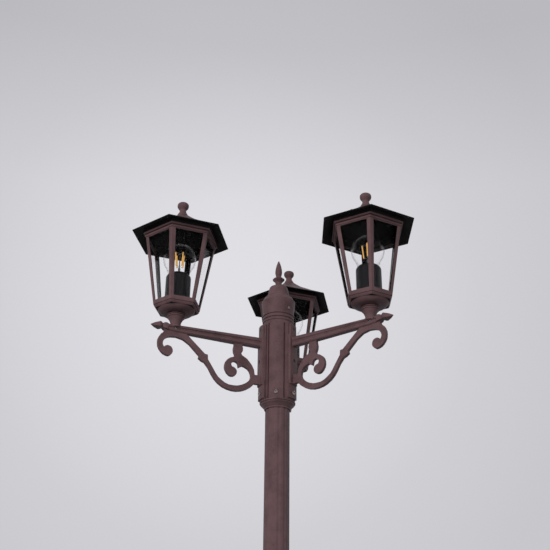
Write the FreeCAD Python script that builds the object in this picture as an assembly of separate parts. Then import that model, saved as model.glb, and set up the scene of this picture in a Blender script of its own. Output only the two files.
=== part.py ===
import FreeCAD, Part
import os
from math import asin, cos, degrees, radians, sin

# Garden lamp post with three lanterns on scrolled arms, cast and extruded
# aluminium. Millimetres, Z up. The origin is on the post's axis at the
# underside of the foot. Hub, arms and lanterns are set out from one level,
# the arms' top at the hub, so in their functions z = 0 is that level.
# Round forms are set out in flats, their corners on the named radius.

# ---------------------------------------------------------------- sizes
set_out_level = 1947.0          # height of the setting-out level above ground
branches = 3
first_azimuth = 90.0            # direction of the first arm, from +X
seat_gap = 0.2                  # clearance where one casting nests in another
screw_sides = 8                 # flats round screws and small holes
lamp_sides = 18                 # flats round necks, finials, holders and bulbs
hub_sides = 24                  # flats round the hub and the bore of the post
foot_sides = 24
arc_flat = 0.25                 # depth of the flats along the curves of the arms

# foot
foot_radius = 112.0
foot_flange = 10.0              # height of the flat rim
foot_height = 124.0
foot_bell_radius = 40.0         # waist of the bell
foot_cavity_radius = 68.0       # hollow underside
cable_hole_radius = 17.0
foot_socket_floor = 42.0        # the post stands here
anchor_circle_radius = 92.0
anchor_hole_radius = 5.5
anchor_holes = 4
foot_screws = 3
foot_screw_drop = 14.0          # below the top of the foot
foot_collar_wall = 12.0

# post
post_radius = 21.75
post_wall = 2.5
flutes = 12
flute_depth = 0.8
flute_width = 6.4
post_top_drop = 40.0            # post ends this far below the level

# hub column
column_radius = 28.0
column_top = 36.0
column_bottom = -117.0
spigot_radius = 25.2            # stub that carries the cap
spigot_height = 34.0
pad_radius = 32.5               # raised pads behind the arms
pad_half_width = 12.0
pad_top = 34.0
pad_foot_radius = 35.0
pad_foot_height = 5.0
pad_foot_lift = 1.5             # above the column's bottom
groove_half_width = 1.65        # upright grooves beside the pads
groove_depth = 3.2
groove_top = 29.0
groove_offset = 1.75            # beyond the pad's edge

# bell collar under the column
collar_radius = 32.0
collar_rim = 3.0
collar_height = 14.5
collar_neck_radius = 24.2
collar_lip = 3.4

# hub cap and spear
cap_radius = 29.0
cap_belt_radius = 31.6          # widest, at the top of the taper
cap_belt_height = 43.0          # above the column's top
cap_rings = 2
cap_ring_pitch = 7.0
cap_ring_depth = 1.9
cap_taper_start = 20.6          # above the column's top
cap_step_radius = 21.6
cap_step_height = 58.0
cap_dome_radius = 19.4
cap_crown_radius = 16.3
cap_height = 76.0
cap_wall = 3.0
cap_screw_height = 24.5         # above the column's top
cap_screw_azimuth = 316.0
cap_screw_head_radius = 3.1
cap_screw_seat = 0.95           # its head stands clear of the cap's taper
spear_height = 58.0
spear_radius = 6.6
spear_leaf_radius = 11.2

# screws
ring_screw_height = 12.0        # above the column's bottom
ring_screws = 6
screw_head_radius = 4.8
screw_head_height = 2.4
screw_shank_radius = 2.2
screw_clearance = 0.2
screw_rest = 0.1                # between a screw's point and what it bears on
arm_screw_radius = 2.8
arm_screw_levels = (18.0, -45.0)
arm_screw_sunk = 1.5            # below the back plate's face
arm_screw_length = 12.0

# arm
lantern_reach = 197.8           # from the post's axis to a lantern's axis
beam_width = 13.0
beam_root_top = 1.2
beam_root_depth = 19.0
beam_end_drop = 3.6             # top of the beam at the lantern, below the level
beam_end_depth = 13.0
beam_groove_depth = 1.9
plate_thickness = 4.6
plate_half_width = 11.0
plate_bottom = -90.0
plate_shoulder = 5.0
tab_thickness = 3.4
tab_half_width = 9.0
tab_top = 26.5
tab_corner = 2.0
leaf_length = 24.0              # beyond the beam's end
leaf_half_width = 8.6
leaf_thickness = 9.5
leaf_point_drop = 4.9           # tip of the leaf below the beam's top
beam_overhang = 22.0            # beam beyond the lantern's axis
seat_radius = 9.8
seat_level = -3.0

# scroll under the arm, a flat bar bent in two curls
bar_thickness = 7.0
bar_width = 11.0
curl_radius = 23.7              # outer curl
curl_past_lantern = 10.2        # its centre beyond the lantern's axis
curl_drop = 41.2
ball_radius = 9.7               # rolled end of a curl
bowl_radius = 51.5              # lower bowl
bowl_from_plate = 49.9          # its centre from the back plate
bowl_drop = 57.2
inner_curl_radius = 21.0
eye_radius = 7.0
lug_half_height = 8.5

# lantern, a six-sided tapered box on a turned neck
lantern_turns = (-3.2, -1.9, 6.0)   # each lantern's own turn on its bolt
neck_foot_radius = 9.2
neck_waist_radius = 8.8
neck_ring_radius = 16.0
neck_ring_level = 13.0
pan_throat_radius = 20.0        # where the underside meets the neck
pan_throat_level = 17.5
pan_haunch_radius = 38.5        # corner radius under the rim
pan_haunch_drop = 3.8
pan_rim_level = 30.3
pan_inside_level = 25.5         # floor inside, corner radius
pan_inside_radius = 29.0
pan_rim_width = 5.7
cage_foot_radius = 42.2         # corner radii of the glazed box, outside
cage_top_radius = 66.0
cage_height = 131.7
cage_wall = 3.6
bar_half_face = 6.2             # each face of a corner bar
foot_rail_height = 7.5
head_rail_height = 1.4
glass_thickness = 2.0
glass_overlap = 1.8
glass_gap = 0.2
cornice_steps = ((67.6, 4.5), (71.0, 3.7))   # corner radius and height of each
eave_radius = 92.2
eave_lip = 1.2
roof_gap = 0.3
roof_wall = 2.6
roof_breaks = ((62.0, 15.6), (31.0, 30.6), (11.5, 49.0))  # radius, rise
curb_wall = 3.4                 # rib under the roof that stands on the cage
ridge_knob_radius = 3.4
ridge_knob_at = 32.0
ridge_knob_turn = 240.0         # the hip that carries the knob
roof_turns = (-60.0, 0.0, 0.0)  # of each roof on its cage, in sixths
ridge_knob_height = 5.0
finial_neck_radius = 6.2
finial_knob_radius = 10.7
finial_height = 29.2

# lamp
nipple_radius = 5.0
nipple_gap = 0.15
nipple_depth = 11.0             # into the arm
nut_half_flats = 8.5
nut_height = 5.0
bracket_rise = 9.0
bracket_half_length = 21.0
bracket_half_width = 8.0
bracket_thickness = 2.0
holder_radius = 22.6
holder_height = 60.5
holder_shoulder = 4.5
holder_floor = 17.0
holder_mouth_radius = 19.0
bulb_cap_radius = 13.1
bulb_side_gap = 0.35
bulb_cap_length = 27.0
bulb_radius = 30.0
bulb_centre_height = 50.0       # above the top of the screw cap
bulb_wall = 1.0
bulb_seat_gap = 0.3
filament_radius = 7.5
filament_length = 30.0
filament_side = 1.8


# ------------------------------------------------------------- helpers
def vec(x, y, z):
    return FreeCAD.Vector(x, y, z)


def flat_face(corners):
    """Flat face through corners; corners that fall together count once."""
    kept = [c for i, c in enumerate(corners) if (c - corners[i - 1]).Length > 1e-6]
    return Part.Face(Part.makePolygon(kept + kept[:1]))


def closed(faces):
    solid = Part.makeSolid(Part.makeShell(faces))
    if solid.Volume < 0:
        solid.reverse()
    return solid.removeSplitter()


def turned(profile, sides):
    """Form about Z from (corner radius, z) points, with a number of sides."""
    turns = [radians(360.0 * (k % sides) / sides) for k in range(sides + 1)]
    faces = []
    for (r0, z0), (r1, z1) in zip(profile, profile[1:] + profile[:1]):
        if max(r0, r1) < 1e-6:
            continue
        for a, b in zip(turns, turns[1:]):
            faces.append(flat_face([
                vec(r0 * cos(a), r0 * sin(a), z0), vec(r0 * cos(b), r0 * sin(b), z0),
                vec(r1 * cos(b), r1 * sin(b), z1), vec(r1 * cos(a), r1 * sin(a), z1),
            ]))
    return closed(faces)


def six_sided(sections):
    """Six-sided solid through (corner radius, z) sections."""
    return turned([(0, sections[0][1])] + sections + [(0, sections[-1][1])], 6)


def across(radius, sides):
    """Corner radius of a bore whose flats lie at the given radius."""
    return radius / cos(radians(180.0 / sides))


def outline(start, *moves):
    """Closed wire: a move of one point is a line, of two an arc through the first."""
    corners = [start]
    for move in moves:
        if len(move) == 1:
            corners.append(move[0])
        else:
            arc = Part.Arc(corners[-1], move[0], move[1]).toShape()
            corners += arc.discretize(Deflection=arc_flat)[1:]
    kept = [c for i, c in enumerate(corners) if (c - corners[i - 1]).Length > 1e-4]
    return Part.makePolygon(kept + kept[:1])


def skinned(sections):
    """Solid through matching rows of corners, in flat triangles."""
    faces = [flat_face(sections[0]), flat_face(sections[-1])]
    for one, two in zip(sections, sections[1:]):
        for i in range(len(one)):
            faces.append(flat_face([one[i - 1], one[i], two[i]]))
            faces.append(flat_face([one[i - 1], two[i], two[i - 1]]))
    return closed(faces)


def block(x0, x1, y0, y1, z0, z1):
    return Part.makeBox(x1 - x0, y1 - y0, z1 - z0, vec(x0, y0, z0))


def column(radius, z0, z1, sides):
    """Upright bar about Z."""
    return turned([(0, z0), (radius, z0), (radius, z1), (0, z1)], sides)


def lying(shape, level):
    """Lay a piece built about Z along +X at a level."""
    copy = shape.copy()
    copy.rotate(vec(0, 0, 0), vec(0, 1, 0), 90)
    copy.translate(vec(0, 0, level))
    return copy


def way(radius, x0, x1, level):
    """Cutter for a screw hole along +X."""
    return lying(column(across(radius, screw_sides), x0, x1, screw_sides), level)


def pan_screw(start, seat, head, level):
    """Screw along +X: its shank from start to seat, its domed head beyond."""
    stem, top = screw_shank_radius, seat + screw_head_height
    return lying(turned([
        (0, start), (stem, start), (stem, seat), (head, seat), (head * 0.7, top), (0, top),
    ], screw_sides), level)


def around(shape, angle):
    copy = shape.copy()
    copy.rotate(vec(0, 0, 0), vec(0, 0, 1), angle)
    return copy


def ring_of(shape, count, start=0.0):
    return [around(shape, start + 360.0 * k / count) for k in range(count)]


def raised(shape, height):
    copy = shape.copy()
    copy.translate(vec(0, 0, height))
    return copy


def fused(shapes):
    return shapes[0].multiFuse(shapes[1:]).removeSplitter()


def azimuth(k):
    return first_azimuth + 360.0 * k / branches


# ---------------------------------------------------------- foot and post
def foot_collar():
    return post_radius + seat_gap + foot_collar_wall


def make_foot():
    socket = across(post_radius + seat_gap, foot_sides)
    rim = foot_collar()
    bell = [
        (foot_radius, 0), (foot_radius, foot_flange),
        (foot_radius - 16, foot_flange + 7), (foot_radius * 0.58, foot_flange + 22),
        (foot_bell_radius, foot_height * 0.5), (rim - 3, foot_height - 22),
        (rim, foot_height - 20), (rim, foot_height - 6),
        (socket + 5, foot_height), (socket, foot_height),
        (socket, foot_socket_floor), (cable_hole_radius, foot_socket_floor),
        (cable_hole_radius, foot_socket_floor - 8),
        (foot_cavity_radius - 14, foot_flange + 6), (foot_cavity_radius, 0),
    ]
    anchor = Part.makeCylinder(anchor_hole_radius, foot_flange * 3, vec(anchor_circle_radius, 0, -1))
    screw_way = way(screw_shank_radius + screw_clearance, 0, 2 * rim, foot_height - foot_screw_drop)
    cuts = ring_of(anchor, anchor_holes, 45) + ring_of(screw_way, foot_screws, first_azimuth)
    return turned(bell, foot_sides).cut(cuts)


def make_foot_screws():
    screw = pan_screw(post_radius + screw_rest, foot_collar(), screw_head_radius,
                      foot_height - foot_screw_drop)
    return Part.makeCompound(ring_of(screw, foot_screws, first_azimuth))


def make_post():
    """Fluted tube, one land of its section at every step."""
    step = 360.0 / flutes
    half = degrees(asin(flute_width / 2 / post_radius))
    corners = []
    for k in range(flutes):
        for turn, depth in ((-half, 0.0), (-half / 3, 0.9), (half / 3, 0.9), (half, 0.0), (step / 2, 0.0)):
            angle = radians(step * (k + 0.5) + turn)
            radius = post_radius - depth * flute_depth
            corners.append(vec(radius * cos(angle), radius * sin(angle), foot_socket_floor))
    height = set_out_level - post_top_drop - foot_socket_floor
    tube = flat_face(corners).extrude(vec(0, 0, height))
    return tube.cut(column(post_radius - post_wall, 0, set_out_level, hub_sides))


# -------------------------------------------------------------------- hub
def arm_screw_start():
    return plate_face() - arm_screw_sunk - arm_screw_length


def arm_screw_way(level):
    """Cutter for an arm screw, through the back plate and the column's wall."""
    return way(arm_screw_radius + screw_clearance, arm_screw_start(), 2 * pad_radius, level)


def plate_face():
    return pad_radius + seat_gap + plate_thickness


def make_column():
    foot, sides = column_bottom, hub_sides
    core = column(column_radius, foot, column_top, sides)
    stub = column(spigot_radius, column_top, column_top + spigot_height, sides)
    pad = column(pad_radius, foot, pad_top, sides)
    pad = pad.common(block(0, 2 * pad_radius, -pad_half_width, pad_half_width, foot, pad_top))
    level = foot + pad_foot_lift
    pad_foot = column(pad_foot_radius, level, level + pad_foot_height, sides)
    pad_foot = pad_foot.common(block(0, 2 * pad_radius, -pad_half_width, pad_half_width, foot, 0))
    body = fused([core, stub] + ring_of(pad, branches, first_azimuth)
                 + ring_of(pad_foot, branches, first_azimuth))
    groove_turn = degrees(asin((pad_half_width + groove_offset) / column_radius))
    groove = block(column_radius - groove_depth, 2 * column_radius, -groove_half_width,
                   groove_half_width, foot, groove_top)
    cuts = [column(across(post_radius + seat_gap, sides), foot, column_top + spigot_height, sides)]
    cuts += ring_of(groove, branches, first_azimuth - groove_turn)
    cuts += ring_of(groove, branches, first_azimuth + groove_turn)
    ring_way = way(screw_shank_radius + screw_clearance, 0, 2 * pad_radius, foot + ring_screw_height)
    cuts += ring_of(ring_way, ring_screws, first_azimuth)
    for level in arm_screw_levels:
        cuts += ring_of(arm_screw_way(level), branches, first_azimuth)
    return body.cut(cuts)


def make_collar():
    rim = column_bottom - collar_rim
    foot = column_bottom - collar_height
    bore = across(post_radius + seat_gap, hub_sides)
    return turned([
        (bore, column_bottom), (collar_radius, column_bottom), (collar_radius, rim),
        (collar_radius - 3.5, rim - 3.2), (collar_neck_radius, foot + collar_lip),
        (bore + 1.4, foot + collar_lip - 1), (bore + 1.4, foot), (bore, foot),
    ], hub_sides)


def make_ring_screws():
    level = column_bottom + ring_screw_height
    start = post_radius + screw_rest
    screws = []
    for k in range(ring_screws):
        seat = pad_radius if k % 2 == 0 else column_radius
        screw = pan_screw(start, seat, screw_head_radius, level)
        screws.append(around(screw, first_azimuth + 360.0 * k / ring_screws))
    return Part.makeCompound(screws)


def make_cap():
    top = column_top
    bore = spigot_radius + seat_gap
    rings = []
    for k in range(cap_rings):
        z = top + cap_ring_pitch * (k + 0.6)
        rings += [(cap_radius, z), (cap_radius - cap_ring_depth, z + 1.2), (cap_radius, z + 2.4)]
    profile = [(bore, top), (cap_radius, top)] + rings + [
        (cap_radius, top + cap_taper_start), (cap_belt_radius, top + cap_belt_height),
        (cap_belt_radius - 4.5, top + cap_belt_height + 9),
        (cap_step_radius, top + cap_step_height - 4), (cap_step_radius, top + cap_step_height),
        (cap_dome_radius, top + cap_step_height + 6), (cap_crown_radius, top + cap_height),
        (0, top + cap_height), (0, top + cap_height - cap_wall),
        (cap_crown_radius - cap_wall, top + cap_height - cap_wall),
        (bore, top + spigot_height + 4),
    ]
    screw_way = way(screw_shank_radius + screw_clearance, 0, 2 * cap_radius, top + cap_screw_height)
    return turned(profile, hub_sides).cut(around(screw_way, cap_screw_azimuth))


def make_cap_screw():
    screw = pan_screw(spigot_radius + seat_gap, cap_radius + cap_screw_seat,
                      cap_screw_head_radius, column_top + cap_screw_height)
    return around(screw, cap_screw_azimuth)


def make_spear():
    return raised(turned([
        (0, 0), (8.5, 0), (8.5, 3), (5.6, 9), (7.0, 13), (spear_leaf_radius, 17.5),
        (7.2, 20.5), (4.9, 24), (spear_radius, 33), (4.6, 44), (0.6, spear_height), (0, spear_height),
    ], lamp_sides), column_top + cap_height)


def make_terminal_block():
    top = -post_top_drop
    tray = block(-20, 20, -7, 7, top, top + 2)
    housing = block(-14, 14, -7, 7, top + 2, top + 18)
    pole = column(2.2, top + 12, top + 22, screw_sides)
    poles = []
    for x in (-9, 0, 9):
        cutter = pole.copy()
        cutter.translate(vec(x, 0, 0))
        poles.append(cutter)
    return tray, housing.cut(poles)


# ------------------------------------------------------------------- arms
def point(x, z):
    return vec(x, 0, z)


def on(centre, radius, angle):
    return vec(centre.x + radius * cos(radians(angle)), 0, centre.z + radius * sin(radians(angle)))


def make_scroll():
    """Flat scrolled bar between the beam, the back plate and the lantern."""
    curl = point(lantern_reach + curl_past_lantern, -curl_drop)
    inside = curl_radius - bar_width - 0.7
    ball = point(curl.x + 2.4, curl.z - (curl_radius - ball_radius) + 0.2)
    bowl = point(plate_face() + bowl_from_plate, -bowl_drop)
    bowl_inside = bowl_radius - bar_width + 0.5
    small = point(bowl.x - 2.5, bowl.z - 8.0)
    small_ball = point(bowl.x + 4.0, bowl.z - 17.4)
    eye = point(bowl.x - 2.3, bowl.z - 3.8)
    heel = point(bowl.x - bowl_inside + 25.5, bowl.z - 18.3)
    stem = bowl.x - 7.0
    lug = bowl.z - 23.0
    root = beam_root_top - beam_root_depth / 2
    tip = beam_end_level() - beam_end_depth / 2
    knee = on(bowl, bowl_radius, -30)
    collar = point(bowl.x + 58.0, bowl.z + 1.2)
    wire = outline(
        point(curl.x + 8, tip), (on(curl, curl_radius, 60),),
        (on(curl, curl_radius, 0), on(curl, curl_radius, -78)),
        (on(ball, ball_radius, 190), on(ball, ball_radius, 62)),
        (on(curl, inside, -38),),
        (on(curl, inside, 25), on(curl, inside, 90)),
        (point(curl.x - 21, curl.z + 7.2), point(curl.x - 37, curl.z + 0.8)),
        (point(collar.x + 10, collar.z + 1.5),), (point(collar.x + 12.5, collar.z - 3.2),),
        (point(collar.x + 7, collar.z - 7.8),), (point(collar.x + 1.8, collar.z - 9.6),),
        (point(knee.x + 7.2, knee.z + 9.6), knee),
        (on(bowl, bowl_radius, -85), on(bowl, bowl_radius, -142)),
        (point(pad_radius, lug - lug_half_height),), (point(pad_radius, lug + lug_half_height),),
        (point(bowl.x - 41, lug + lug_half_height),),
        (point(bowl.x - 34.3, bowl.z + 2.0), point(stem - 8, bowl.z + 18.6)),
        (point(stem - 6.2, bowl.z + 22),),
        (point(stem - 9.4, bowl.z + 29), point(stem - 8.0, bowl.z + 36.5)),
        (point(stem - 8.0, root),), (point(stem + 9.0, root),),
        (point(stem + 9.0, bowl.z + 36.5),),
        (point(stem + 10.3, bowl.z + 28), point(stem + 7.0, bowl.z + 17)),
        (on(small, inner_curl_radius, 75),),
        (on(small, inner_curl_radius, 5), on(small, inner_curl_radius, -57)),
        (on(small_ball, ball_radius, 200), on(small_ball, ball_radius, 105)),
        (on(eye, eye_radius, -40),),
        (on(eye, eye_radius, 55), on(eye, eye_radius, 150)),
        (point(eye.x - 7.4, eye.z - 3.8),), (on(heel, 15.5, 95),),
        (on(heel, 15.5, 160), on(heel, 15.5, 222)),
        (on(bowl, bowl_inside, -95), on(bowl, bowl_inside, -22)),
        (point(collar.x - 10, collar.z - 1.4),), (point(collar.x - 9.6, collar.z + 6.6),),
        (point(collar.x - 3.0, collar.z + 5.8),),
        (point(curl.x - 37, tip + 1),),
    )
    bar = Part.Face(wire).extrude(vec(0, bar_thickness, 0))
    bar.translate(vec(0, -bar_thickness / 2, 0))
    return bar


def beam_end_level():
    return -beam_end_drop


def beam_section(x, top, depth):
    """Moulded section: chamfered crown, groove along the side, narrower foot."""
    half = beam_width / 2
    side = [
        (half - 1.5, 0.0), (half, -1.5), (half, -0.36 * depth),
        (half - beam_groove_depth, -0.44 * depth), (half - beam_groove_depth, -0.54 * depth),
        (half - 0.4, -0.62 * depth), (half - 0.4, -0.86 * depth), (half - 2.2, -depth),
    ]
    right = [vec(x, y, top + z) for y, z in side]
    left = [vec(x, -y, top + z) for y, z in reversed(side)]
    return right + left


def make_leaf():
    """Pointed leaf at the beam's end: its plan crossed with its side view."""
    start = lantern_reach + beam_overhang - 8
    tip = lantern_reach + beam_overhang + leaf_length
    w, t = leaf_half_width, leaf_thickness
    top = beam_end_level()
    mid = top - leaf_point_drop
    plan = outline(
        vec(start, -beam_width / 2, 0), (vec(start + 5, -w * 0.88, 0), vec(start + 10.5, -w * 0.58, 0)),
        (vec(start + 13, -w * 0.88, 0), vec(start + 16, -w, 0)),
        (vec(start + 24.5, -w * 0.55, 0), vec(tip, 0, 0)),
        (vec(start + 24.5, w * 0.55, 0), vec(start + 16, w, 0)),
        (vec(start + 13, w * 0.88, 0), vec(start + 10.5, w * 0.58, 0)),
        (vec(start + 5, w * 0.88, 0), vec(start, beam_width / 2, 0)),
    )
    side = outline(
        point(start, top), (point(start + 5, top + 0.9), point(start + 10.5, top - 0.8)),
        (point(start + 13, top + 0.4), point(start + 16, top + 0.6)),
        (point(start + 24.5, top - 1.7), point(tip, mid)),
        (point(start + 24.5, top - t * 0.81), point(start + 16, top + 0.6 - t)),
        (point(start + 13, top - t * 0.92), point(start + 10.5, top - t * 0.84)),
        (point(start + 5, top - t * 1.12), point(start, top - beam_end_depth * 0.9)),
    )
    flat = Part.Face(plan).extrude(vec(0, 0, 4 * t))
    flat.translate(vec(0, 0, top - 3 * t))
    upright = Part.Face(side).extrude(vec(0, 4 * w, 0))
    upright.translate(vec(0, -2 * w, 0))
    return flat.common(upright)


def make_back_plate():
    """Curved plate that lies on a pad of the column, with a tab above the beam."""
    inner = pad_radius + seat_gap
    reach = 2 * pad_radius

    def saddle(thickness, shape):
        return column(inner + thickness, plate_bottom, tab_top, hub_sides).common(shape)

    main = block(0, reach, -plate_half_width, plate_half_width, plate_bottom, plate_shoulder)
    t, c = tab_half_width, tab_corner
    tab = Part.Face(outline(
        vec(0, -t, plate_shoulder - 1), (vec(0, t, plate_shoulder - 1),), (vec(0, t, tab_top - c),),
        (vec(0, t - c, tab_top),), (vec(0, c - t, tab_top),), (vec(0, -t, tab_top - c),),
    )).extrude(vec(reach, 0, 0))
    return [saddle(plate_thickness, main), saddle(tab_thickness, tab)]


def make_arm():
    inner = pad_radius + seat_gap
    end = lantern_reach + beam_overhang - 6
    beam = skinned([
        beam_section(inner - 4, beam_root_top, beam_root_depth),
        beam_section(lantern_reach, beam_end_level(), beam_end_depth),
        beam_section(end, beam_end_level(), beam_end_depth * 0.9),
    ])
    seat = column(seat_radius, beam_end_level() - 4, seat_level, lamp_sides)
    socket = column(across(nipple_radius + nipple_gap, screw_sides), seat_level - nipple_depth,
                    seat_level + 9, screw_sides)
    for piece in (seat, socket):
        piece.translate(vec(lantern_reach, 0, 0))
    arm = fused([beam, make_scroll(), make_leaf(), seat] + make_back_plate())
    cuts = [column(inner, plate_bottom - 9, tab_top + 9, hub_sides), socket]
    return arm.cut(cuts + [arm_screw_way(level) for level in arm_screw_levels])


def make_arm_screws():
    start = arm_screw_start()
    screw = column(arm_screw_radius, start, start + arm_screw_length, screw_sides)
    screws = []
    for level in arm_screw_levels:
        screws += ring_of(lying(screw, level), branches, first_azimuth)
    return Part.makeCompound(screws)


# --------------------------------------------------------------- lantern
def cage_foot():
    return pan_rim_level


def cage_top():
    return cage_foot() + cage_height


def roof_seat():
    return cage_top() + sum(height for radius, height in cornice_steps)


def cage_radius(z):
    """Outer corner radius of the glazed box at height z."""
    share = (z - cage_foot()) / cage_height
    return cage_foot_radius + (cage_top_radius - cage_foot_radius) * share


def face_plate(z0, z1, inset, margin, thickness):
    """Flat plate on a face of the box, inset from it and short of its corners."""
    flat = cos(radians(30))
    corners = []
    for z, side in ((z0, -1), (z0, 1), (z1, 1), (z1, -1)):
        radius = cage_radius(z)
        corners.append(vec(radius * flat - inset, side * (radius / 2 - margin), z))
    face = Part.Face(Part.makePolygon(corners + corners[:1]))
    lean = (cage_top_radius - cage_foot_radius) * flat / cage_height
    inwards = vec(-1, 0, lean)
    inwards.normalize()
    return face.extrude(inwards * thickness)


def make_pan():
    top = pan_rim_level
    bowl = six_sided([
        (pan_throat_radius, pan_throat_level), (pan_haunch_radius, top - pan_haunch_drop),
        (cage_foot_radius, top),
    ])
    inside = six_sided([
        (pan_inside_radius, pan_inside_level), (cage_foot_radius - pan_rim_width, top),
        (cage_foot_radius - pan_rim_width, top + 1),
    ])
    ring, level = neck_ring_radius, neck_ring_level
    neck = turned([
        (0, pan_throat_level + 2), (ring + 0.8, pan_throat_level + 2), (ring + 0.8, level + 3.2),
        (ring - 0.8, level + 2), (ring, level + 1), (ring - 0.8, level - 0.6),
        (ring - 3.2, level - 4), (ring - 5.6, level - 8), (neck_waist_radius, seat_level + 4),
        (neck_foot_radius, seat_level), (0, seat_level),
    ], lamp_sides)
    bore = column(across(nipple_radius + nipple_gap, screw_sides), seat_level - 1, pan_rim_level,
                  screw_sides)
    return bowl.cut(inside).fuse(neck).cut(bore)


def make_nipple():
    floor = pan_inside_level
    stem = column(nipple_radius, seat_level - nipple_depth + seat_gap, floor + nut_height + 1, screw_sides)
    nut_corner = nut_half_flats / cos(radians(30))
    nut = six_sided([(nut_corner, floor), (nut_corner, floor + nut_height)])
    return stem.fuse(nut)


def make_bracket():
    floor = pan_inside_level
    top = floor + bracket_rise
    length, width, t = bracket_half_length, bracket_half_width, bracket_thickness
    bridge = block(-length, length, -width, width, top - t, top)
    legs = [block(s * length - (t if s > 0 else 0), s * length + (0 if s > 0 else t),
                  -width, width, floor, top - t) for s in (-1, 1)]
    return fused([bridge] + legs)


def holder_level():
    return pan_inside_level + bracket_rise


def make_holder():
    base = holder_level()
    top = base + holder_height
    cap_top = base + holder_floor + bulb_cap_length
    bore = across(bulb_cap_radius + bulb_side_gap, lamp_sides)
    return turned([
        (0, base), (holder_radius, base), (holder_radius, top - holder_shoulder),
        (holder_mouth_radius + 1.2, top), (holder_mouth_radius, top),
        (bore, cap_top), (bore, base + holder_floor), (0, base + holder_floor),
    ], lamp_sides)


def bulb_cap_top():
    return holder_level() + holder_floor + bulb_seat_gap + bulb_cap_length


def make_bulb_cap():
    top = bulb_cap_top()
    foot = top - bulb_cap_length
    return turned([
        (0, foot), (5, foot), (bulb_cap_radius, foot + 7), (bulb_cap_radius, top), (0, top),
    ], lamp_sides)


def make_bulb_glass():
    start = bulb_cap_top()
    centre = start + bulb_centre_height
    r = bulb_radius
    outer = [(bulb_cap_radius, start), (bulb_cap_radius + 2.2, start + 14), (r * 0.88, centre - r * 0.6),
             (r, centre - r * 0.08), (r * 0.86, centre + r * 0.56), (r * 0.42, centre + r * 0.94),
             (0, centre + r)]
    w = bulb_wall
    inner = [(0, centre + r - w), (r * 0.42 - w * 0.4, centre + r * 0.94 - w),
             (r * 0.86 - w, centre + r * 0.56 - w * 0.5), (r - w, centre - r * 0.08),
             (r * 0.88 - w, centre - r * 0.6), (bulb_cap_radius + 2.2 - w, start + 14),
             (bulb_cap_radius - w, start)]
    return turned(outer + inner, lamp_sides)


def make_filament():
    start = bulb_cap_top()
    middle = start + bulb_centre_height
    low = middle - filament_length / 2
    high = middle + filament_length / 2
    r, half = filament_radius, filament_side / 2
    stem = six_sided([(4.6, start), (3.0, low - 4)])
    mast = block(-0.6, 0.6, -0.6, 0.6, low - 5, high)
    parts = [stem, mast]
    for z in (low, high):
        parts.append(block(-r, r, -0.5, 0.5, z - 0.5, z + 0.5))
        parts.append(block(-0.5, 0.5, -r, r, z - 0.5, z + 0.5))
    for k in range(4):
        x, y = r * cos(radians(90 * k)), r * sin(radians(90 * k))
        parts.append(block(x - half, x + half, y - half, y + half, low - 0.5, high + 0.5))
    return fused(parts)


def make_cage():
    foot, top = cage_foot(), cage_top()
    inset = cage_wall / cos(radians(30))
    shell = six_sided([(cage_radius(foot), foot), (cage_radius(top), top)])
    hollow = six_sided([(cage_radius(foot - 5) - inset, foot - 5), (cage_radius(top + 5) - inset, top + 5)])
    window = face_plate(foot + foot_rail_height, top - head_rail_height, -2, bar_half_face, cage_wall + 8)
    windows = ring_of(window, 6, 30)
    parts = [shell.cut([hollow] + windows)]
    level = top
    for radius, height in cornice_steps:
        step = six_sided([(radius, level), (radius + 1.0, level + height)])
        way_up = cage_top_radius - 4.5
        parts.append(step.cut(six_sided([(way_up, level - 1), (way_up, level + 9)])))
        level += height
    return fused(parts)


def make_panes():
    low = cage_foot() + foot_rail_height - glass_overlap
    high = cage_top() - glass_gap
    pane = face_plate(low, high, cage_wall + glass_gap, bar_half_face - glass_overlap, glass_thickness)
    return Part.makeCompound(ring_of(pane, 6, 30))


def make_roof():
    seat = roof_seat() + roof_gap
    eave = seat - roof_gap + eave_lip
    (r1, h1), (r2, h2), (r3, h3) = roof_breaks
    outer = six_sided([(eave_radius, seat), (eave_radius, eave), (r1, eave + h1),
                       (r2, eave + h2), (r3, eave + h3)])
    w = roof_wall
    inner = six_sided([(eave_radius - w, seat - 1), (eave_radius - w, seat), (r1 - w, eave + h1 - w),
                       (r2 - w, eave + h2 - w), (r3 - w, eave + h3 - 2 * w)])
    curb_radius = cornice_steps[-1][0]
    curb = six_sided([(curb_radius, seat), (curb_radius, eave + h1)])
    curb_inside = curb_radius - curb_wall
    curb = curb.cut(six_sided([(curb_inside, seat - 1), (curb_inside, eave + h1 + 1)]))
    knob_level = eave + h2 + (h1 - h2) * (ridge_knob_at - r2) / (r1 - r2)
    knob = turned([(0, -2), (ridge_knob_radius, -2), (ridge_knob_radius, ridge_knob_height * 0.5),
                   (ridge_knob_radius * 0.5, ridge_knob_height), (0, ridge_knob_height)], screw_sides)
    knob.translate(vec(ridge_knob_at, 0, knob_level))
    return fused([outer.cut(inner), curb.common(outer), around(knob, ridge_knob_turn)])


def roof_top():
    return roof_seat() + eave_lip + roof_breaks[-1][1]


def make_finial():
    k, n, h = finial_knob_radius, finial_neck_radius, finial_height
    return raised(turned([
        (0, 0), (10.4, 0), (9.0, h * 0.18), (n, h * 0.36), (n, h * 0.46), (k * 0.93, h * 0.66),
        (k, h * 0.78), (k * 0.72, h * 0.95), (0, h),
    ], lamp_sides), roof_top())


# ------------------------------------------------------------------ export
def on_post(shape):
    return raised(shape, set_out_level)


def on_arm(shape, k):
    """Place an arm, built along +X, in its direction."""
    return on_post(around(shape, azimuth(k)))


def on_lantern(shape, k):
    """Place a lantern piece, built about Z, on the end of its arm."""
    copy = around(shape, lantern_turns[k])
    copy.translate(vec(lantern_reach, 0, 0))
    return on_arm(copy, k)


def write(name, shape):
    shape.exportStep("parts/" + name + ".step")


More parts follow.
